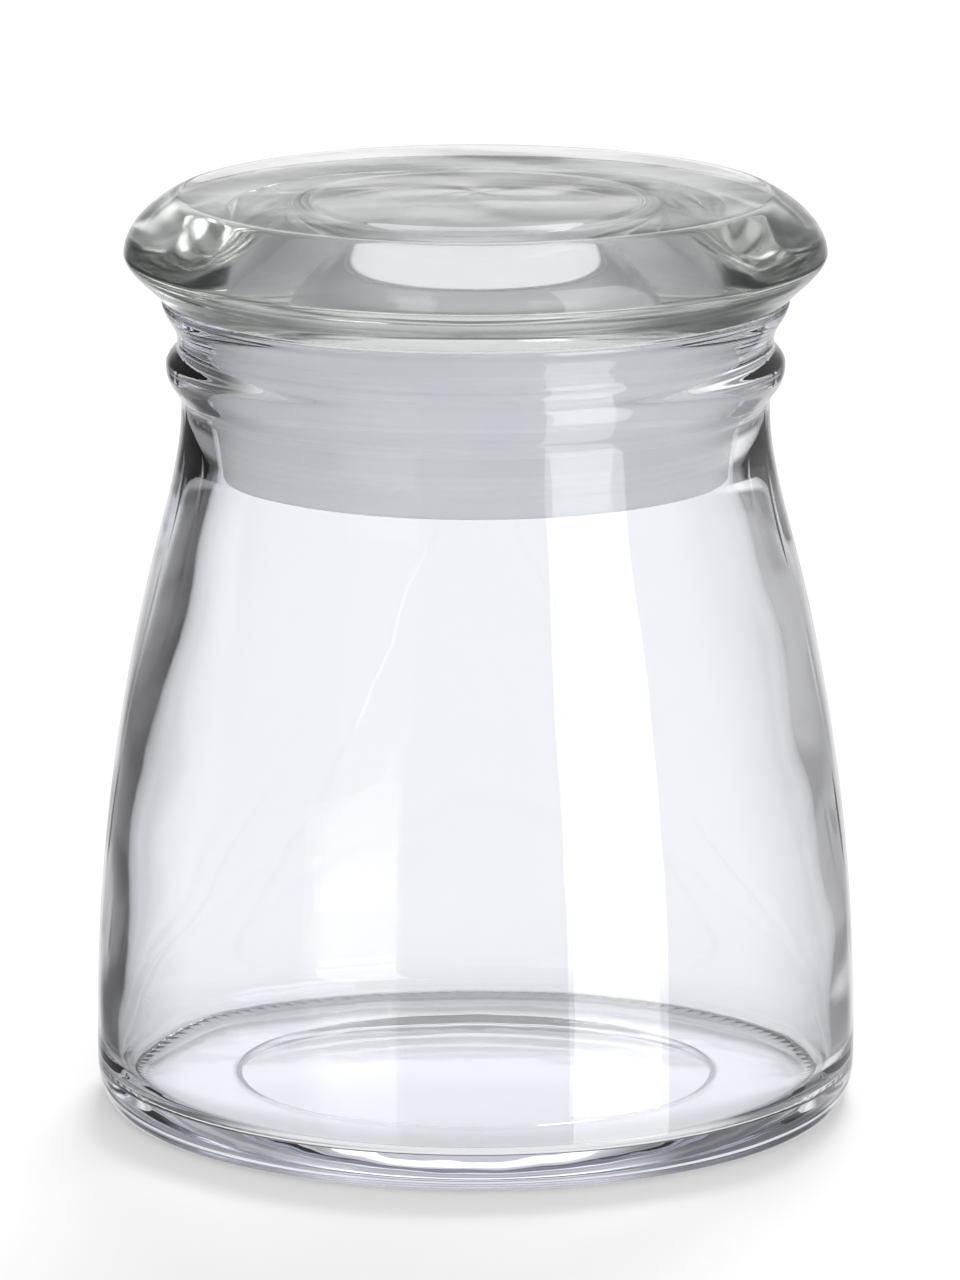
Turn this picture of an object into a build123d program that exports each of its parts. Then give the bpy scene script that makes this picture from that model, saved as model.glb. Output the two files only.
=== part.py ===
from build123d import *
import os

os.makedirs("parts", exist_ok=True)

# An apothecary jar of clear glass with a flat glass lid and a plastic seal ring on the lid's plug.
# Millimetres, +Z up. The origin is the centre of the ring that the jar stands on.
# Every piece is round about Z, so each one is a profile of (radius, height) turned about the axis.
# A lead is how far a curve runs on in the direction it starts or ends in, before it bends away.

# Driving dimensions
body_diameter = 108.0  # widest part of the jar, just above the heel
overall_height = 130.4  # with the lid on
jar_height = 115.6  # top of the lip
lid_diameter = 98.8  # sharp rim of the lid
mouth_diameter = 74.4  # straight bore of the neck
neck_diameter = 82.8  # waist under the bead
seal_thickness = 0.6  # the ring's flange, between the lip and the lid
fit_clearance = 0.10  # radial, between the seal's fins and the bore

# Jar: foot and side wall
body_radius = body_diameter / 2
foot_radius = body_radius - 3.2  # outside edge of the ring that the jar stands on
heel_height = 7.0
heel_level_lead = 1.8
heel_upright_lead = 4.4
foot_band_height = 9.2  # the wall is upright up to here
side_arc_radius = 287.0
side_arc_angle = 13.5
push_up_radius = 34.5  # inside edge of that ring
push_up_slope = 0.9
push_up_depth = 1.3
push_up_centre = 1.9

# Jar: neck, bead and lip
shoulder_lead = 10.0
waist_radius = neck_diameter / 2
waist_height = 100.5
waist_lead_below = 8.0
waist_lead_above = 2.5
bead_radius = waist_radius + 2.15
bead_height = 106.1
bead_lead_below = 2.9
bead_lead_above = 1.8
groove_radius = waist_radius + 0.5
groove_height = 109.7
groove_lead_below = 1.7
groove_lead_above = 2.2
lip_radius = waist_radius + 2.7
lip_edge = 0.6
lip_lean = 0.4  # the flare still opens by this much over its last stretch
lip_lead = 1.8
lip_bulge = 0.1

# Jar: inside
mouth_radius = mouth_diameter / 2
mouth_round = 1.8
bore_bottom = 92.0
bore_lean = 0.7
bore_lead = 14.0
inner_radius = body_radius - 3.2
inner_wall_lead = 37.0
inner_wall_bottom = 10.0
inner_heel = 4.4
inner_heel_round = 1.2
floor_height = 4.6

# Lid: flange
lid_radius = lid_diameter / 2
lid_rim_height = 122.2
lid_top_radius = 42.0
bevel_lean = 0.4
bevel_lead = 4.4
rim_lead_below = 1.4
lid_seat = jar_height + seal_thickness
seat_radius = 44.3
seat_bevel = 2.0
soft_edge = 0.8

# Lid: hollow plug
plug_top_radius = 34.6
plug_bottom_radius = 34.2
plug_bottom = 92.4
hollow_mouth_radius = 27.6
hollow_top_radius = 26.2
hollow_wall_top = 118.5
hollow_wall_lead = 4.4
hollow_wall_lean = 0.2
hollow_ceiling = 124.3
hollow_ceiling_radius = 22.5
hollow_ceiling_lead = 1.8
hollow_crown = 124.8

# Seal ring
seal_gap = 0.05  # between the ring and the glass that it lies against
sleeve_radius = 36.4
seal_bottom = 90.9
hook_radius = 32.6
hook_thickness = 1.4
flange_radius = 43.0
fin_radius = mouth_radius - fit_clearance
fin_heights = (99.2, 103.8, 108.4)
fin_root = 1.1
fin_tip = 0.4
fin_rise = 0.7


# The jar, one piece of glass: the outside is drawn from the foot up, then the inside from the lip down
with BuildPart() as jar_body:
    with BuildSketch(Plane.XZ) as jar_profile:
        with BuildLine() as jar_outline:
            push_up_edge = push_up_radius - push_up_slope
            Bezier((0, push_up_centre), (push_up_edge / 2, push_up_centre), (push_up_edge, push_up_depth))
            Line((push_up_edge, push_up_depth), (push_up_radius, 0))
            Line((push_up_radius, 0), (foot_radius, 0))
            heel = Bezier(
                (foot_radius, 0),
                (foot_radius + heel_level_lead, 0),
                (body_radius, heel_height - heel_upright_lead),
                (body_radius, heel_height),
            )
            foot_band = Line(heel @ 1, (body_radius, foot_band_height))
            side = JernArc(foot_band @ 1, foot_band % 1, side_arc_radius, side_arc_angle)
            shoulder = Bezier(
                side @ 1,
                side @ 1 + (side % 1) * shoulder_lead,
                (waist_radius, waist_height - waist_lead_below),
                (waist_radius, waist_height),
            )
            bead_below = Bezier(
                shoulder @ 1,
                (waist_radius, waist_height + waist_lead_above),
                (bead_radius, bead_height - bead_lead_below),
                (bead_radius, bead_height),
            )
            bead_above = Bezier(
                bead_below @ 1,
                (bead_radius, bead_height + bead_lead_above),
                (groove_radius, groove_height - groove_lead_below),
                (groove_radius, groove_height),
            )
            flare = Bezier(
                bead_above @ 1,
                (groove_radius, groove_height + groove_lead_above),
                (lip_radius - lip_lean, jar_height - lip_edge - lip_lead),
                (lip_radius, jar_height - lip_edge),
            )
            lip_round = Bezier(
                flare @ 1,
                (lip_radius + lip_bulge, jar_height),
                (lip_radius - lip_edge, jar_height),
            )
            Line(lip_round @ 1, (mouth_radius + mouth_round, jar_height))
            mouth_centre = (mouth_radius + mouth_round, jar_height - mouth_round)
            mouth_edge = CenterArc(mouth_centre, mouth_round, 90, 90)
            bore = Line(mouth_edge @ 1, (mouth_radius, bore_bottom))
            inner_wall = Bezier(
                bore @ 1,
                (mouth_radius + bore_lean, bore_bottom - bore_lead),
                (inner_radius, inner_wall_bottom + inner_wall_lead),
                (inner_radius, inner_wall_bottom),
            )
            inner_corner = Bezier(
                inner_wall @ 1,
                (inner_radius, floor_height + inner_heel_round),
                (inner_radius - inner_heel_round, floor_height),
                (inner_radius - inner_heel, floor_height),
            )
            Line(inner_corner @ 1, (0, floor_height))
            Line((0, floor_height), (0, push_up_centre))
        make_face()
    revolve(axis=Axis.Z)
jar_body.part.label = "jar_body"
export_step(jar_body.part, "parts/jar_body.step")


# The lid, one pressing: flat top, bevelled flange, and a hollow plug below
with BuildPart() as lid:
    with BuildSketch(Plane.XZ) as lid_profile:
        with BuildLine() as lid_outline:
            top_face = Line((0, overall_height), (lid_top_radius - soft_edge, overall_height))
            top_corner = Bezier(
                top_face @ 1,
                (lid_top_radius, overall_height),
                (lid_top_radius + soft_edge, overall_height - soft_edge / 2),
            )
            bevel = Bezier(
                top_corner @ 1,
                (lid_radius - bevel_lean, lid_rim_height + bevel_lead),
                (lid_radius, lid_rim_height),
            )
            under_rim = Bezier(
                bevel @ 1,
                (lid_radius, lid_rim_height - rim_lead_below),
                (seat_radius + seat_bevel, lid_seat + seat_bevel),
            )
            seat_edge = Line(under_rim @ 1, (seat_radius, lid_seat))
            seat = Line(seat_edge @ 1, (plug_top_radius + soft_edge / 2, lid_seat))
            plug_root = Bezier(
                seat @ 1,
                (plug_top_radius, lid_seat),
                (plug_top_radius, lid_seat - soft_edge / 2),
            )
            plug_side = Line(plug_root @ 1, (plug_bottom_radius, plug_bottom + soft_edge))
            plug_corner = Bezier(
                plug_side @ 1,
                (plug_bottom_radius, plug_bottom),
                (plug_bottom_radius - soft_edge, plug_bottom),
            )
            plug_end = Line(plug_corner @ 1, (hollow_mouth_radius + soft_edge, plug_bottom))
            hollow_corner = Bezier(
                plug_end @ 1,
                (hollow_mouth_radius, plug_bottom),
                (hollow_mouth_radius, plug_bottom + soft_edge),
            )
            hollow_side = Line(hollow_corner @ 1, (hollow_top_radius, hollow_wall_top))
            hollow_shoulder = Bezier(
                hollow_side @ 1,
                (hollow_top_radius - hollow_wall_lean, hollow_wall_top + hollow_wall_lead),
                (hollow_ceiling_radius + hollow_ceiling_lead, hollow_ceiling),
                (hollow_ceiling_radius, hollow_ceiling),
            )
            ceiling = Bezier(
                hollow_shoulder @ 1,
                (hollow_ceiling_radius / 2, hollow_crown),
                (0, hollow_crown),
            )
            Line(ceiling @ 1, top_face @ 0)
        make_face()
    revolve(axis=Axis.Z)
lid.part.label = "lid"
export_step(lid.part, "parts/lid.step")


# The seal ring: a sleeve on the plug, a flange between lip and lid, a hook under the plug, and thin fins
with BuildPart() as lid_seal:
    with BuildSketch(Plane.XZ) as seal_profile:
        with BuildLine() as sleeve_outline:
            sleeve_inner_top = (plug_top_radius + seal_gap, lid_seat - seal_gap - soft_edge / 2)
            hook_top = seal_bottom + hook_thickness
            Polyline(
                sleeve_inner_top,
                (plug_top_radius + seal_gap + soft_edge / 2, lid_seat - seal_gap),
                (flange_radius, lid_seat - seal_gap),
                (flange_radius, jar_height + seal_gap),
                (sleeve_radius + soft_edge, jar_height + seal_gap),
                (sleeve_radius, jar_height - soft_edge),
                (sleeve_radius, seal_bottom + soft_edge),
                (sleeve_radius - soft_edge, seal_bottom),
                (hook_radius, seal_bottom),
                (hook_radius, hook_top),
                (plug_bottom_radius + seal_gap, hook_top),
                sleeve_inner_top,
            )
        make_face()
        for fin_height in fin_heights:
            with BuildLine() as fin_outline:
                Polyline(
                    (sleeve_radius - soft_edge, fin_height - fin_root / 2),
                    (fin_radius, fin_height + fin_rise - fin_tip / 2),
                    (fin_radius, fin_height + fin_rise + fin_tip / 2),
                    (sleeve_radius - soft_edge, fin_height + fin_root / 2),
                    close=True,
                )
            make_face()
    revolve(axis=Axis.Z)
lid_seal.part.label = "lid_seal"
export_step(lid_seal.part, "parts/lid_seal.step")
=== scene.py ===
import math

import bmesh
import bpy
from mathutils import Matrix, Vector


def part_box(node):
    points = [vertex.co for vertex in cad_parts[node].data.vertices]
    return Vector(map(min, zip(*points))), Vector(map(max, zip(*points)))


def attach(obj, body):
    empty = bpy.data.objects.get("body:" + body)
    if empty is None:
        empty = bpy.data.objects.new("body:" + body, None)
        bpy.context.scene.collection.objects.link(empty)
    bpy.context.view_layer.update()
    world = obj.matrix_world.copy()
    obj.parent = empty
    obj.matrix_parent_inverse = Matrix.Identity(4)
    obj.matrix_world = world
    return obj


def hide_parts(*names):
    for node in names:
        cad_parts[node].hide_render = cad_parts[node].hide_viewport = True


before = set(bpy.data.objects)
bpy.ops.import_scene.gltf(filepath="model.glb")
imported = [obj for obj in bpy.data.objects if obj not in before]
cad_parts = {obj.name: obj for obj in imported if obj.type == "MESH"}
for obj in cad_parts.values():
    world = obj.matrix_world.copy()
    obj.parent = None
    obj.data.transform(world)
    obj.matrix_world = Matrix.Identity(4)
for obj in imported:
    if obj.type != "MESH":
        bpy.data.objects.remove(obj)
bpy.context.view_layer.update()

MM = 0.001
FULL_TURN = 2 * math.pi
FLOOR_GAP = 0.00015  # metres between the floor and the glass, so that their faces don't coincide
SAME_POINT = 1e-4  # two points of an outline closer than this, in millimetres, are one
ON_AXIS = 1e-6  # a point nearer to Z than this, in millimetres, lies on the axis

# ---------------------------------------------------------------- sizes, in millimetres

# From the frame: the outside sizes of the three CAD nodes
jar_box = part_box("jar_body")
lid_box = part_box("lid")
seal_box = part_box("lid_seal")
body_radius = jar_box[1].x / MM
jar_height = jar_box[1].z / MM
lid_radius = lid_box[1].x / MM
overall_height = lid_box[1].z / MM
plug_bottom = lid_box[0].z / MM
flange_radius = seal_box[1].x / MM
seal_bottom = seal_box[0].z / MM

# Jar: foot and side wall
foot_inset = 3.2
foot_radius = body_radius - foot_inset
heel_height = 7.0
heel_level_lead = 1.8
heel_upright_lead = 4.4
foot_band_height = 9.2
side_arc_radius = 287.0
side_arc_angle = math.radians(13.5)
push_up_radius = 34.5
push_up_slope = 0.9
push_up_depth = 1.3
push_up_centre = 1.9
push_up_lead = 1.2
push_up_lead_height = 0.2
knurl_radius = 49.0
knurl_half_width = 2.0
knurl_depth = 0.12
knurl_count = 120
seam_start = 14.0
seam_fade = 10.0  # the seam grows to its full height over this much
seam_height = 0.05

# Jar: neck, bead and lip
shoulder_lead = 10.0
waist_inset = 12.6
waist_radius = body_radius - waist_inset
waist_height = 100.5
waist_lead_below = 8.0
waist_lead_above = 2.5
bead_radius = waist_radius + 2.15
bead_height = 106.1
bead_lead_below = 2.9
bead_lead_above = 1.8
groove_radius = waist_radius + 0.5
groove_height = 109.7
groove_lead_below = 1.7
groove_lead_above = 2.2
lip_radius = waist_radius + 2.7
lip_edge = 0.6
lip_lean = 0.4
lip_lead = 1.8
lip_bulge = 0.1

# Jar: inside
mouth_inset = 16.8
mouth_radius = body_radius - mouth_inset
mouth_round = 1.8
bore_bottom = 92.0
bore_lean = 0.7
bore_lead = 14.0
wall_thickness = 3.2
inner_radius = body_radius - wall_thickness
inner_wall_lead = 37.0
inner_wall_bottom = 10.0
inner_heel = 4.4
inner_heel_round = 1.2
floor_height = 4.6
wave_start = 8.0  # the inside's unevenness begins at this height
wave_fade_below = 10.0
wave_fade_above = 14.0

# Lid: flange
lid_rim_height = 122.2
lid_top_radius = 42.0
bevel_lean = 0.4
bevel_lead = 4.4
rim_lead_below = 1.4
seal_thickness = 0.6
lid_seat = jar_height + seal_thickness
seat_radius = 44.3
seat_bevel = 2.0
soft_edge = 0.8
lid_wave_fade = 12.0  # the top is true at its centre, and fully uneven from this radius

# Lid: hollow plug
plug_top_radius = 34.6
plug_bottom_radius = 34.2
hollow_mouth_radius = 27.6
hollow_top_radius = 26.2
hollow_wall_top = 118.5
hollow_wall_lead = 4.4
hollow_wall_lean = 0.2
hollow_ceiling = 124.3
hollow_ceiling_radius = 22.5
hollow_ceiling_lead = 1.8
hollow_crown = 124.8

# Seal ring
seal_gap = 0.05
sleeve_radius = 36.4
hook_radius = 32.6
hook_thickness = 1.4
hook_bevel = 0.3
fin_clearance = 0.1
fin_radius = mouth_radius - fin_clearance
fin_heights = (99.2, 103.8, 108.4)
fin_root = 1.1
fin_tip = 0.4
fin_rise = 0.7
fin_round = 0.1
rib_pitch = 1.1
rib_width = 0.22
rib_depth = 0.09

# Waves in the glass: (size in millimetres, number of waves round Z, radians per millimetre along the surface,
# start in radians)
mould_broad = (0.015, 3, 0.11, 0.0)
mould_fine = (0.01, 7, -0.17, 0.0)
wall_broad = (0.05, 2, 0.05, 0.6)
wall_side_broad = (0.16, 3, 0.13, 0.0)
wall_side_fine = (0.07, -5, 0.30, 1.1)
press_broad = (0.02, 3, 0.22, 0.0)
press_fine = (0.015, 5, -0.31, 1.0)


# ---------------------------------------------------------------- curves and turned meshes


def bezier(*corners, steps=12):
    """Points along a Bezier curve, both ends included."""
    degree = len(corners) - 1
    points = []
    for i in range(steps + 1):
        t = i / steps
        weights = [math.comb(degree, k) * (1 - t) ** (degree - k) * t**k for k in range(degree + 1)]
        radius = sum(w * c[0] for w, c in zip(weights, corners))
        height = sum(w * c[1] for w, c in zip(weights, corners))
        points.append((radius, height))
    return points


def arc(centre, radius, start, turn, steps=12):
    """Points along an arc, from the angle start and through the angle turn."""
    angles = [start + turn * i / steps for i in range(steps + 1)]
    return [(centre[0] + radius * math.cos(a), centre[1] + radius * math.sin(a)) for a in angles]


def line(first, last, steps=1):
    """Points along a straight line, both ends included."""
    return [
        (first[0] + (last[0] - first[0]) * i / steps, first[1] + (last[1] - first[1]) * i / steps)
        for i in range(steps + 1)
    ]


def turned(name, stretches, segments=360, crease=math.radians(25)):
    """A closed mesh turned about Z, from stretches of one outline. A stretch is a list of (radius, height)
    points, and the function that shapes each point by its angle, or None. Points may lie on the axis."""
    rings = []
    for points, shape in stretches:
        for point in points:
            if rings and math.dist(point, rings[-1][0]) < SAME_POINT:
                continue
            rings.append((point, shape))
    if math.dist(rings[0][0], rings[-1][0]) < SAME_POINT:
        rings.pop()

    mesh = bmesh.new()
    loops = []
    for (radius, height), shape in rings:
        if radius < ON_AXIS:
            loops.append([mesh.verts.new((0, 0, height * MM))])
            continue
        loop = []
        for k in range(segments):
            angle = FULL_TURN * k / segments
            r, z = shape(radius, height, angle) if shape else (radius, height)
            loop.append(mesh.verts.new((r * MM * math.sin(angle), -r * MM * math.cos(angle), z * MM)))
        loops.append(loop)
    for this, after in zip(loops, loops[1:] + loops[:1]):
        for k in range(segments):
            corners = [
                this[k % len(this)],
                this[(k + 1) % len(this)],
                after[(k + 1) % len(after)],
                after[k % len(after)],
            ]
            corners = list(dict.fromkeys(corners))
            if len(corners) > 2:
                mesh.faces.new(corners)
    bmesh.ops.recalc_face_normals(mesh, faces=mesh.faces)
    data = bpy.data.meshes.new(name)
    mesh.to_mesh(data)
    mesh.free()
    for face in data.polygons:
        face.use_smooth = True
    data.set_sharp_from_angle(angle=crease)
    piece = bpy.data.objects.new(name, data)
    bpy.context.scene.collection.objects.link(piece)
    return piece


# ---------------------------------------------------------------- shader nodes


class Shader:
    """A material or world with short calls for adding nodes and joining them."""

    def __init__(self, owner):
        owner.use_nodes = True
        self.tree = owner.node_tree
        self.tree.nodes.clear()

    def add(self, kind, **settings):
        node = self.tree.nodes.new("ShaderNode" + kind)
        for key, value in settings.items():
            setattr(node, key, value)
        return node

    def join(self, output, socket):
        self.tree.links.new(output, socket)


def set_inputs(node, **values):
    """Sets a node's inputs by name, with _ for a space."""
    for key, value in values.items():
        node.inputs[key.replace("_", " ")].default_value = value


def ramp(s, stops):
    """A colour ramp of grey levels, from (position, level) pairs in order."""
    node = s.add("ValToRGB")
    elements = node.color_ramp.elements
    elements[0].position, elements[1].position = stops[0][0], stops[-1][0]
    for position, level in stops[1:-1]:
        elements.new(position)
    for element, (position, level) in zip(elements, stops):
        element.color = (level, level, level, 1)
    return node


def arithmetic(s, operation, first, second):
    """One arithmetic node on two outputs, or on one output and a number, which some operations don't use."""
    node = s.add("Math", operation=operation)
    for socket, value in zip(node.inputs, (first, second)):
        if isinstance(value, (int, float)):
            socket.default_value = value
        else:
            s.join(value, socket)
    return node.outputs[0]


# ---------------------------------------------------------------- materials


def shadow_tint(s, place, straight_shadow, edge_shadow, foot_shadow):
    """How much light a lamp gets through one face of the glass: straight_shadow straight through, edge_shadow
    along the face, and foot_shadow times as much in the thick heel, which scatters light away."""
    slant = s.add("LayerWeight")
    set_inputs(slant, Blend=0.5)
    along = s.add("MapRange", interpolation_type="SMOOTHSTEP")
    set_inputs(along, From_Min=0.35, From_Max=0.95, To_Min=straight_shadow, To_Max=edge_shadow)
    s.join(slant.outputs["Facing"], along.inputs["Value"])

    split = s.add("SeparateXYZ")
    s.join(place, split.inputs[0])
    low = s.add("MapRange")
    set_inputs(low, From_Min=heel_height * MM, From_Max=inner_wall_bottom * MM, To_Min=1.0, To_Max=0.0)
    s.join(split.outputs["Z"], low.inputs["Value"])
    x_squared = arithmetic(s, "MULTIPLY", split.outputs["X"], split.outputs["X"])
    y_squared = arithmetic(s, "MULTIPLY", split.outputs["Y"], split.outputs["Y"])
    radius = arithmetic(s, "SQRT", arithmetic(s, "ADD", x_squared, y_squared), 0.0)
    outside = s.add("MapRange")
    set_inputs(outside, From_Min=(inner_radius - inner_heel) * MM, From_Max=inner_radius * MM)
    s.join(radius, outside.inputs["Value"])
    foot = s.add("MapRange")
    set_inputs(foot, To_Min=1.0, To_Max=foot_shadow)
    s.join(arithmetic(s, "MULTIPLY", low.outputs[0], outside.outputs[0]), foot.inputs["Value"])
    return arithmetic(s, "MULTIPLY", along.outputs[0], foot.outputs[0])


def glass(
    name,
    tint,
    straight_shadow,
    edge_shadow,
    foot_shadow,
    absorption,
    density,
    wave_scale,
    wave_strength,
    haze_most,
):
    """Clear glass with a faint uneven surface. The tint colours what passes through a face, and absorption
    colours the thickness. Lamps reach through it by a transparent stand-in."""
    material = bpy.data.materials.new(name)
    s = Shader(material)
    output = s.add("OutputMaterial")
    body = s.add("BsdfPrincipled")
    set_inputs(body, Base_Color=(*tint, 1), IOR=1.5, Transmission_Weight=1.0)

    place = s.add("TexCoord").outputs["Object"]
    ripple = s.add("TexNoise")
    set_inputs(ripple, Scale=wave_scale, Detail=2.0, Roughness=0.45)
    bump = s.add("Bump")
    set_inputs(bump, Strength=wave_strength, Distance=0.0004)
    s.join(place, ripple.inputs["Vector"])
    s.join(ripple.outputs["Fac"], bump.inputs["Height"])
    s.join(bump.outputs["Normal"], body.inputs["Normal"])

    haze = s.add("TexNoise")
    set_inputs(haze, Scale=45.0, Detail=6.0, Roughness=0.6)
    haze_range = s.add("MapRange")
    set_inputs(haze_range, From_Min=0.45, From_Max=0.8, To_Min=haze_most / 4, To_Max=haze_most)
    s.join(place, haze.inputs["Vector"])
    s.join(haze.outputs["Fac"], haze_range.inputs["Value"])
    s.join(haze_range.outputs["Result"], body.inputs["Roughness"])

    stand_in = s.add("BsdfTransparent")
    s.join(shadow_tint(s, place, straight_shadow, edge_shadow, foot_shadow), stand_in.inputs["Color"])
    path = s.add("LightPath")
    choose = s.add("MixShader")
    s.join(path.outputs["Is Shadow Ray"], choose.inputs[0])
    s.join(body.outputs[0], choose.inputs[1])
    s.join(stand_in.outputs[0], choose.inputs[2])
    s.join(choose.outputs[0], output.inputs["Surface"])

    volume = s.add("VolumeAbsorption")
    set_inputs(volume, Color=(*absorption, 1), Density=density)
    s.join(volume.outputs[0], output.inputs["Volume"])
    return material


def seal_plastic(name):
    """Milky polyethylene that lets some light through, with fine moulding lines round it."""
    material = bpy.data.materials.new(name)
    s = Shader(material)
    output = s.add("OutputMaterial")
    skin = s.add("BsdfPrincipled")
    set_inputs(skin, IOR=1.5, Specular_IOR_Level=0.5)

    place = s.add("TexCoord")
    cloud = s.add("TexNoise")
    set_inputs(cloud, Scale=60.0, Detail=4.0, Roughness=0.55)
    tint = s.add("ValToRGB")
    tint.color_ramp.elements[0].position = 0.3
    tint.color_ramp.elements[0].color = (0.91, 0.92, 0.935, 1)
    tint.color_ramp.elements[1].position = 0.75
    tint.color_ramp.elements[1].color = (0.96, 0.965, 0.97, 1)
    s.join(place.outputs["Object"], cloud.inputs["Vector"])
    s.join(cloud.outputs["Fac"], tint.inputs["Fac"])
    s.join(tint.outputs["Color"], skin.inputs["Base Color"])

    shine = s.add("MapRange")
    set_inputs(shine, From_Min=0.3, From_Max=0.7, To_Min=0.28, To_Max=0.42)
    s.join(cloud.outputs["Fac"], shine.inputs["Value"])
    s.join(shine.outputs["Result"], skin.inputs["Roughness"])

    lines = s.add("TexWave", wave_type="BANDS", bands_direction="Z", wave_profile="SIN")
    set_inputs(lines, Scale=260.0, Distortion=0.6, Detail=1.0)
    bump = s.add("Bump")
    set_inputs(bump, Strength=0.35, Distance=0.0001)
    s.join(place.outputs["Object"], lines.inputs["Vector"])
    s.join(lines.outputs["Fac"], bump.inputs["Height"])
    s.join(bump.outputs["Normal"], skin.inputs["Normal"])

    glow = s.add("BsdfTranslucent")
    s.join(tint.outputs["Color"], glow.inputs["Color"])
    blend = s.add("MixShader")
    set_inputs(blend, Fac=0.6)
    s.join(skin.outputs[0], blend.inputs[1])
    s.join(glow.outputs[0], blend.inputs[2])
    s.join(blend.outputs[0], output.inputs["Surface"])
    return material


# ---------------------------------------------------------------- the jar


def bearing_knurl(radius, height, angle):
    """The row of small dimples in the ring that the jar stands on."""
    inside = max(0.0, 1 - ((radius - knurl_radius) / knurl_half_width) ** 2)
    return radius, height + knurl_depth * inside * (1 + math.cos(knurl_count * angle)) / 2


def wave_at(wave, along, angle, lift=0):
    """How high a wave stands at a height or radius and an angle. With a lift of 1 it is never below zero."""
    size, count, slant, start = wave
    return size * (lift + math.sin(count * angle + slant * along + start))


def outer_wave(radius, height, angle):
    """The mould's faint unevenness on the outside of the jar, which only dips inwards, and its seam on either
    side, which stands out by seam_height at most."""
    dip = wave_at(mould_broad, height, angle, lift=1) + wave_at(mould_fine, height, angle, lift=1)
    if math.isclose(abs(math.sin(angle)), 1):
        dip -= seam_height * min(1.0, max(0.0, (height - seam_start) / seam_fade))
    return radius - dip, height


def inner_wave(radius, height, angle):
    """The blown wall's uneven thickness on the inside, dying out towards the bore and the floor."""
    fade_above = min(1.0, max(0.0, (bore_bottom - height) / wave_fade_above))
    fade_below = min(1.0, max(0.0, (height - wave_start) / wave_fade_below))
    fade = fade_above * fade_below
    sides = math.sin(angle) ** 4  # the wall is more uneven near the two seams
    side_wave = wave_at(wall_side_broad, height, angle) + wave_at(wall_side_fine, height, angle)
    return radius + fade * (wave_at(wall_broad, height, angle) + sides * side_wave), height


def lid_wave(radius, height, angle):
    """The pressed lid's slightly uneven top and rim, shifted inwards and down by less than 0.1 mm."""
    fade = min(1.0, radius / lid_wave_fade)
    dip = wave_at(press_broad, radius, angle, lift=1) + wave_at(press_fine, radius, angle, lift=1)
    return radius - fade * dip, height - fade * dip


def jar_stretches():
    """The jar's section as one outline: out along the base, up the outside, down the inside to its floor."""
    push_up_edge = push_up_radius - push_up_slope
    below = bezier((0, push_up_centre), (push_up_edge / 2, push_up_centre), (push_up_edge, push_up_depth))
    below += bezier(
        (push_up_edge, push_up_depth),
        (push_up_radius - push_up_lead, push_up_lead_height),
        (push_up_radius, 0),
        steps=6,
    )
    below += line((push_up_radius, 0), (foot_radius, 0), steps=24)
    heel = bezier(
        (foot_radius, 0),
        (foot_radius + heel_level_lead, 0),
        (body_radius, heel_height - heel_upright_lead),
        (body_radius, heel_height),
        steps=16,
    )
    band = line((body_radius, heel_height), (body_radius, foot_band_height), steps=2)
    side_centre = (body_radius - side_arc_radius, foot_band_height)
    side = arc(side_centre, side_arc_radius, 0, side_arc_angle, steps=48)
    lean = (-math.sin(side_arc_angle), math.cos(side_arc_angle))
    shoulder = bezier(
        side[-1],
        (side[-1][0] + lean[0] * shoulder_lead, side[-1][1] + lean[1] * shoulder_lead),
        (waist_radius, waist_height - waist_lead_below),
        (waist_radius, waist_height),
        steps=30,
    )
    bead = bezier(
        (waist_radius, waist_height),
        (waist_radius, waist_height + waist_lead_above),
        (bead_radius, bead_height - bead_lead_below),
        (bead_radius, bead_height),
        steps=18,
    )
    bead += bezier(
        (bead_radius, bead_height),
        (bead_radius, bead_height + bead_lead_above),
        (groove_radius, groove_height - groove_lead_below),
        (groove_radius, groove_height),
        steps=14,
    )
    lip = bezier(
        (groove_radius, groove_height),
        (groove_radius, groove_height + groove_lead_above),
        (lip_radius - lip_lean, jar_height - lip_edge - lip_lead),
        (lip_radius, jar_height - lip_edge),
        steps=16,
    )
    lip += bezier(
        (lip_radius, jar_height - lip_edge),
        (lip_radius + lip_bulge, jar_height),
        (lip_radius - lip_edge, jar_height),
        steps=6,
    )
    mouth = line((lip_radius - lip_edge, jar_height), (mouth_radius + mouth_round, jar_height), steps=3)
    mouth_centre = (mouth_radius + mouth_round, jar_height - mouth_round)
    mouth += arc(mouth_centre, mouth_round, math.pi / 2, math.pi / 2, steps=8)
    mouth += line((mouth_radius, jar_height - mouth_round), (mouth_radius, bore_bottom), steps=10)
    inside = bezier(
        (mouth_radius, bore_bottom),
        (mouth_radius + bore_lean, bore_bottom - bore_lead),
        (inner_radius, inner_wall_bottom + inner_wall_lead),
        (inner_radius, inner_wall_bottom),
        steps=64,
    )
    inside += bezier(
        (inner_radius, inner_wall_bottom),
        (inner_radius, floor_height + inner_heel_round),
        (inner_radius - inner_heel_round, floor_height),
        (inner_radius - inner_heel, floor_height),
        steps=20,
    )
    floor = line((inner_radius - inner_heel, floor_height), (0, floor_height), steps=24)
    return [
        (below + heel + band, bearing_knurl),
        (side + shoulder + bead + lip, outer_wave),
        (mouth, None),
        (inside, inner_wave),
        (floor, None),
    ]


def make_jar():
    jar = turned("jar_glass_body", jar_stretches())
    jar.data.materials.append(
        glass(
            "jar_glass",
            tint=(0.925, 0.930, 0.955),
            straight_shadow=1.0,
            edge_shadow=0.6,
            foot_shadow=0.1,
            absorption=(0.70, 0.72, 0.85),
            density=6.0,
            wave_scale=70.0,
            wave_strength=0.10,
            haze_most=0.02,
        )
    )
    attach(jar, "jar")
    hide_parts("jar_body")


# ---------------------------------------------------------------- the lid


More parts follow.
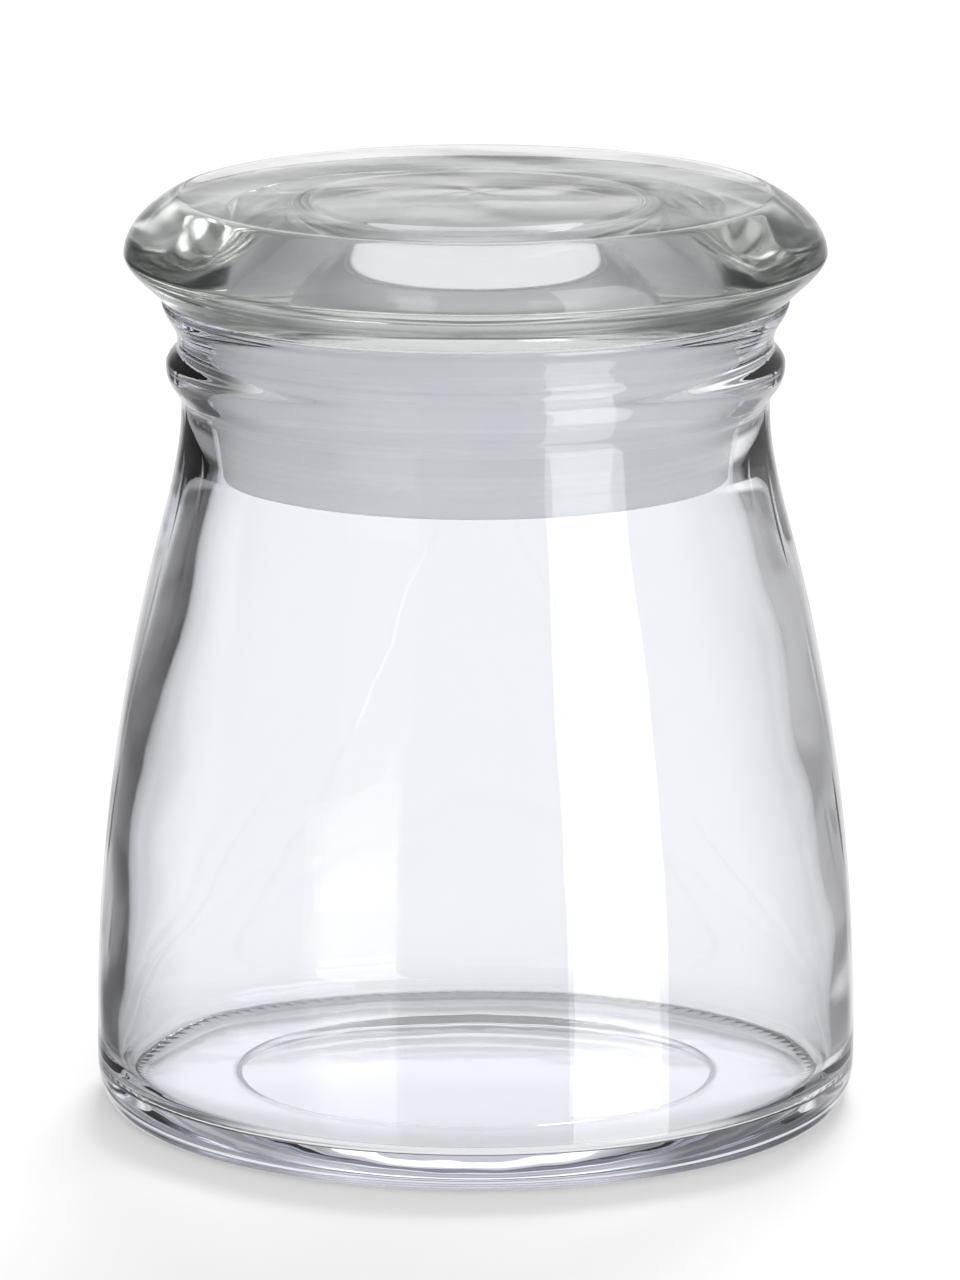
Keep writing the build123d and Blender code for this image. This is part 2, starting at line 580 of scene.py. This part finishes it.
def lid_stretches():
    """The lid's section as one outline: out along the top, down the rim and the plug, and up its hollow."""
    top = line((0, overall_height), (lid_top_radius - soft_edge, overall_height), steps=30)
    top += bezier(
        (lid_top_radius - soft_edge, overall_height),
        (lid_top_radius, overall_height),
        (lid_top_radius + soft_edge, overall_height - soft_edge / 2),
        steps=6,
    )
    rim = bezier(
        (lid_top_radius + soft_edge, overall_height - soft_edge / 2),
        (lid_radius - bevel_lean, lid_rim_height + bevel_lead),
        (lid_radius, lid_rim_height),
        steps=28,
    )
    rim += bezier(
        (lid_radius, lid_rim_height),
        (lid_radius, lid_rim_height - rim_lead_below),
        (seat_radius + seat_bevel, lid_seat + seat_bevel),
        steps=14,
    )
    rim += line((seat_radius + seat_bevel, lid_seat + seat_bevel), (seat_radius, lid_seat), steps=4)
    seat = line((seat_radius, lid_seat), (plug_top_radius + soft_edge / 2, lid_seat), steps=6)
    seat += bezier(
        (plug_top_radius + soft_edge / 2, lid_seat),
        (plug_top_radius, lid_seat),
        (plug_top_radius, lid_seat - soft_edge / 2),
        steps=5,
    )
    plug = line(
        (plug_top_radius, lid_seat - soft_edge / 2),
        (plug_bottom_radius, plug_bottom + soft_edge),
        steps=12,
    )
    plug += bezier(
        (plug_bottom_radius, plug_bottom + soft_edge),
        (plug_bottom_radius, plug_bottom),
        (plug_bottom_radius - soft_edge, plug_bottom),
        steps=5,
    )
    plug += bezier(
        (hollow_mouth_radius + soft_edge, plug_bottom),
        (hollow_mouth_radius, plug_bottom),
        (hollow_mouth_radius, plug_bottom + soft_edge),
        steps=5,
    )
    hollow = line(
        (hollow_mouth_radius, plug_bottom + soft_edge),
        (hollow_top_radius, hollow_wall_top),
        steps=20,
    )
    hollow += bezier(
        (hollow_top_radius, hollow_wall_top),
        (hollow_top_radius - hollow_wall_lean, hollow_wall_top + hollow_wall_lead),
        (hollow_ceiling_radius + hollow_ceiling_lead, hollow_ceiling),
        (hollow_ceiling_radius, hollow_ceiling),
        steps=20,
    )
    hollow += bezier(
        (hollow_ceiling_radius, hollow_ceiling),
        (hollow_ceiling_radius / 2, hollow_crown),
        (0, hollow_crown),
        steps=16,
    )
    return [(top, lid_wave), (rim, lid_wave), (seat, None), (plug, None), (hollow, None)]


def make_lid():
    lid = turned("lid_glass", lid_stretches())
    lid.data.materials.append(
        glass(
            "lid_glass",
            tint=(0.945, 0.948, 0.945),
            straight_shadow=0.75,
            edge_shadow=0.6,
            foot_shadow=1.0,
            absorption=(0.80, 0.816, 0.803),
            density=23.0,
            wave_scale=60.0,
            wave_strength=0.15,
            haze_most=0.14,
        )
    )
    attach(lid, "lid")
    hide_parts("lid")


# ---------------------------------------------------------------- the seal ring


def seal_stretches():
    """The ring's section as one outline: down the inside, under the hook, and up the outside past its fins.
    Fine ribs run round the sleeve below, between and above the fins."""
    inside = line(
        (plug_top_radius + seal_gap, lid_seat - seal_gap - soft_edge / 2),
        (plug_bottom_radius + seal_gap, seal_bottom + hook_thickness),
        steps=10,
    )
    hook = line(inside[-1], (hook_radius, seal_bottom + hook_thickness))
    hook += line(hook[-1], (hook_radius, seal_bottom + hook_bevel))
    hook += line((hook_radius + hook_bevel, seal_bottom), (sleeve_radius - soft_edge, seal_bottom), steps=3)
    hook += bezier(
        (sleeve_radius - soft_edge, seal_bottom),
        (sleeve_radius, seal_bottom),
        (sleeve_radius, seal_bottom + soft_edge),
        steps=5,
    )
    outside = []
    bands = [seal_bottom + soft_edge, *fin_heights, jar_height - soft_edge]
    for below, above in zip(bands, bands[1:]):
        ribs = int((above - below - 2 * fin_root) / rib_pitch)
        first = (above + below - (ribs - 1) * rib_pitch) / 2
        for k in range(ribs):
            height = first + k * rib_pitch
            outside += [
                (sleeve_radius, height - rib_width),
                (sleeve_radius - rib_depth, height - rib_width / 2),
                (sleeve_radius - rib_depth, height + rib_width / 2),
                (sleeve_radius, height + rib_width),
            ]
        if above in fin_heights:
            outside += [
                (sleeve_radius, above - fin_root / 2),
                (fin_radius - fin_round, above + fin_rise - fin_tip / 2),
                (fin_radius, above + fin_rise),
                (fin_radius - fin_round, above + fin_rise + fin_tip / 2),
                (sleeve_radius, above + fin_root / 2),
            ]
    flange = bezier(
        (sleeve_radius, jar_height - soft_edge),
        (sleeve_radius, jar_height + seal_gap),
        (sleeve_radius + soft_edge, jar_height + seal_gap),
        steps=5,
    )
    flange += line(flange[-1], (flange_radius, jar_height + seal_gap), steps=4)
    flange += line(
        (flange_radius, lid_seat - seal_gap),
        (plug_top_radius + seal_gap + soft_edge / 2, lid_seat - seal_gap),
    )
    return [(inside, None), (hook, None), (outside, None), (flange, None)]


def make_seal():
    seal = turned("seal_ring", seal_stretches(), crease=math.radians(40))
    seal.data.materials.append(seal_plastic("seal_plastic"))
    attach(seal, "lid")
    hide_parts("lid_seal")


# ---------------------------------------------------------------- studio

WHITE = 1.0
FLOOR_SIZE = 30.0
LOOK_DOWN = math.radians(12.57)
DEEP = 32  # bounces enough for light to cross every face of jar, seal and lid
HALF_A_BOUNCE = 0.5
NEARLY_ZERO = 0.01  # keeps the room's shader from dividing by zero at the sides and in front
# How bright the room that the glass mirrors is, as (position, level) pairs. A position runs from straight
# down (0) to straight up (1), with the horizon at 0.5.
FRONT_LEVELS = ((0.0, 0.9), (0.35, 0.85), (0.5, 0.75), (0.65, 0.75), (0.85, 0.7), (0.93, 0.25), (1.0, 0.25))
BACK_LEVELS = (
    (0.0, 0.9),
    (0.30, 0.9),
    (0.40, 0.8),
    (0.49, 0.7),
    (0.52, 0.5),
    (0.558, 0.5),
    (0.574, 0.9),
    (0.581, 0.9),
    (0.586, 0.35),
    (0.597, 0.35),
    (0.617, 1.6),
    (0.65, 1.6),
    (0.69, 1.0),
    (0.85, 0.7),
    (0.93, 0.25),
    (1.0, 0.25),
)
CORNER_LEVELS = (
    (0.0, 0.3),
    (0.12, 0.2),
    (0.17, 0.08),
    (0.29, 0.10),
    (0.31, 0.35),
    (0.355, 0.35),
    (0.375, 0.10),
    (0.425, 0.10),
    (0.445, 0.16),
    (0.49, 0.16),
    (0.51, 0.10),
    (0.63, 0.10),
    (0.80, 0.15),
    (0.88, 0.35),
    (1.0, 0.35),
)


def glossy_choice(s, plain, mirrored):
    """A mix that shows plain, except to rays that have been mirrored at least once on their way."""
    path = s.add("LightPath")
    is_mirrored = arithmetic(s, "GREATER_THAN", path.outputs["Glossy Depth"], HALF_A_BOUNCE)
    choose = s.add("MixShader")
    s.join(is_mirrored, choose.inputs[0])
    s.join(plain.outputs[0], choose.inputs[1])
    s.join(mirrored.outputs[0], choose.inputs[2])
    return choose


def flat_sheet(name, centre, width, height, normal=(0, 0, 1)):
    """A rectangle of the studio, which isn't part of the object."""
    data = bpy.data.meshes.new(name)
    w, h = width / 2, height / 2
    data.from_pydata([(-w, -h, 0), (w, -h, 0), (w, h, 0), (-w, h, 0)], [], [(0, 1, 2, 3)])
    sheet = bpy.data.objects.new(name, data)
    sheet.location = centre
    sheet.rotation_euler = Vector(normal).to_track_quat("Z", "Y").to_euler()
    bpy.context.scene.collection.objects.link(sheet)
    return sheet


def make_floor():
    """A white floor that glows a little, like a light table, and that mirrored rays pass through."""
    floor = flat_sheet("floor", (0, 0, -FLOOR_GAP), FLOOR_SIZE, FLOOR_SIZE)
    s = Shader(bpy.data.materials.new("floor_white"))
    floor.data.materials.append(bpy.data.materials["floor_white"])
    output = s.add("OutputMaterial")
    paint = s.add("BsdfDiffuse")
    set_inputs(paint, Color=(0.45, 0.45, 0.45, 1))
    glow = s.add("Emission")
    set_inputs(glow, Strength=0.3)
    lit = s.add("AddShader")
    s.join(paint.outputs[0], lit.inputs[0])
    s.join(glow.outputs[0], lit.inputs[1])
    clear = s.add("BsdfTransparent")
    s.join(glossy_choice(s, lit, clear).outputs[0], output.inputs["Surface"])


def make_card(name, azimuth, distance, low, high, width, strength, slope=0.0):
    """A lit card in front of the jar, seen only in mirrored light. Azimuth 0 is the camera's side, 90 is +X.
    Its top edge climbs by slope towards its end at the smaller azimuth."""
    a = math.radians(azimuth)
    centre = Vector((distance * math.sin(a), -distance * math.cos(a), (low + high) / 2))
    card = flat_sheet(name, centre, width, high - low, (-centre.x, -centre.y, 0))
    for corner in card.data.vertices:
        if corner.co.y > 0:
            corner.co.y += slope / 2 * math.copysign(1, corner.co.x)
    s = Shader(bpy.data.materials.new(name))
    card.data.materials.append(bpy.data.materials[name])
    output = s.add("OutputMaterial")
    clear = s.add("BsdfTransparent")
    light = s.add("Emission")
    set_inputs(light, Strength=strength)
    s.join(glossy_choice(s, clear, light).outputs[0], output.inputs["Surface"])
    card.visible_camera = False
    card.visible_diffuse = False
    card.visible_shadow = False
    card.visible_volume_scatter = False


def make_world():
    """Plain white all round, for what is seen directly or through glass. For what glass mirrors, a room
    that is pale in front and at the sides, with a pale wall behind between two dark corners."""
    world = bpy.data.worlds.new("studio")
    bpy.context.scene.world = world
    s = Shader(world)
    output = s.add("OutputWorld")
    white = s.add("Background")
    set_inputs(white, Color=(1, 1, 1, 1), Strength=WHITE)

    place = s.add("TexCoord")
    split = s.add("SeparateXYZ")
    s.join(place.outputs["Generated"], split.inputs[0])
    across = s.add("MapRange", interpolation_type="SMOOTHSTEP")
    set_inputs(across, From_Min=0.45, From_Max=0.20)
    aside = arithmetic(s, "ABSOLUTE", split.outputs["X"], 0.0)
    away = arithmetic(s, "MAXIMUM", split.outputs["Y"], NEARLY_ZERO)
    s.join(arithmetic(s, "DIVIDE", aside, away), across.inputs["Value"])
    front = s.add("MapRange", interpolation_type="SMOOTHSTEP")
    set_inputs(front, From_Min=0.6, From_Max=0.1)
    s.join(split.outputs["Y"], front.inputs["Value"])
    side = s.add("MapRange")
    set_inputs(side, From_Min=-0.7, From_Max=0.7, To_Min=0.9, To_Max=3.6)
    s.join(split.outputs["X"], side.inputs["Value"])
    height = s.add("MapRange")
    set_inputs(height, From_Min=-1.0, From_Max=1.0)
    s.join(split.outputs["Z"], height.inputs["Value"])

    levels = []
    for stops in (CORNER_LEVELS, BACK_LEVELS, FRONT_LEVELS):
        levels.append(ramp(s, stops))
        s.join(height.outputs["Result"], levels[-1].inputs["Fac"])
    corner, back, ahead = levels
    tinted = s.add("MixRGB", blend_type="MULTIPLY")
    set_inputs(tinted, Fac=1.0)
    s.join(corner.outputs["Color"], tinted.inputs["Color1"])
    s.join(side.outputs["Result"], tinted.inputs["Color2"])
    behind = s.add("MixRGB")
    s.join(across.outputs["Result"], behind.inputs["Fac"])
    s.join(tinted.outputs["Color"], behind.inputs["Color1"])
    s.join(back.outputs["Color"], behind.inputs["Color2"])
    all_round = s.add("MixRGB")
    s.join(front.outputs["Result"], all_round.inputs["Fac"])
    s.join(behind.outputs["Color"], all_round.inputs["Color1"])
    s.join(ahead.outputs["Color"], all_round.inputs["Color2"])
    room = s.add("Background")
    set_inputs(room, Strength=1.0)
    s.join(all_round.outputs["Color"], room.inputs["Color"])
    s.join(glossy_choice(s, white, room).outputs[0], output.inputs["Surface"])


def make_lamp(name, place, target, size, watts):
    """A soft square lamp that lights the object but isn't seen in it."""
    lamp = bpy.data.lights.new(name, "AREA")
    lamp.energy = watts
    lamp.size = size
    holder = bpy.data.objects.new(name, lamp)
    holder.location = place
    holder.rotation_euler = (Vector(target) - Vector(place)).to_track_quat("-Z", "Y").to_euler()
    holder.visible_camera = False
    holder.visible_glossy = False
    holder.visible_transmission = False
    bpy.context.scene.collection.objects.link(holder)


def make_sun(name, source, spread, strength):
    """Even light from one direction, so that the whole floor is equally bright."""
    lamp = bpy.data.lights.new(name, "SUN")
    lamp.energy = strength
    lamp.angle = spread
    holder = bpy.data.objects.new(name, lamp)
    holder.rotation_euler = Vector(source).to_track_quat("Z", "Y").to_euler()
    holder.visible_camera = False
    holder.visible_glossy = False
    holder.visible_transmission = False
    bpy.context.scene.collection.objects.link(holder)


def make_camera():
    """The camera stands 1.2 m in front of the jar's axis, and looks down at the jar."""
    camera = bpy.data.cameras.new("camera")
    camera.sensor_width = 36.0
    camera.lens = 244.2
    camera.clip_end = 60.0
    holder = bpy.data.objects.new("camera", camera)
    holder.location = (0.00062, -1.2, 0.3337)
    holder.rotation_euler = (math.radians(90) - LOOK_DOWN, 0, 0)
    bpy.context.scene.collection.objects.link(holder)
    bpy.context.scene.camera = holder


def make_studio():
    make_floor()
    make_world()
    make_card("card_right", azimuth=42.5, distance=0.5, low=-0.14, high=0.6, width=0.26, strength=4.0)
    make_card(
        "card_left",
        azimuth=-37,
        distance=0.5,
        low=-0.14,
        high=0.085,
        width=0.26,
        strength=1.25,
        slope=-0.04,
    )
    make_sun("back_light", source=(0.17, 1.0, 0.91), spread=math.radians(22), strength=3.4)
    make_lamp("front_lamp", place=(0.25, -1.3, 0.45), target=(0, 0, 0.10), size=0.6, watts=7.2)
    scene = bpy.context.scene
    scene.view_settings.view_transform = "Standard"
    scene.cycles.max_bounces = DEEP
    scene.cycles.transmission_bounces = DEEP
    scene.cycles.transparent_max_bounces = DEEP
    scene.cycles.glossy_bounces = 12
    scene.cycles.diffuse_bounces = 3
    scene.cycles.caustics_reflective = False
    scene.cycles.use_denoising = True


make_jar()
make_lid()
make_seal()
make_studio()
make_camera()
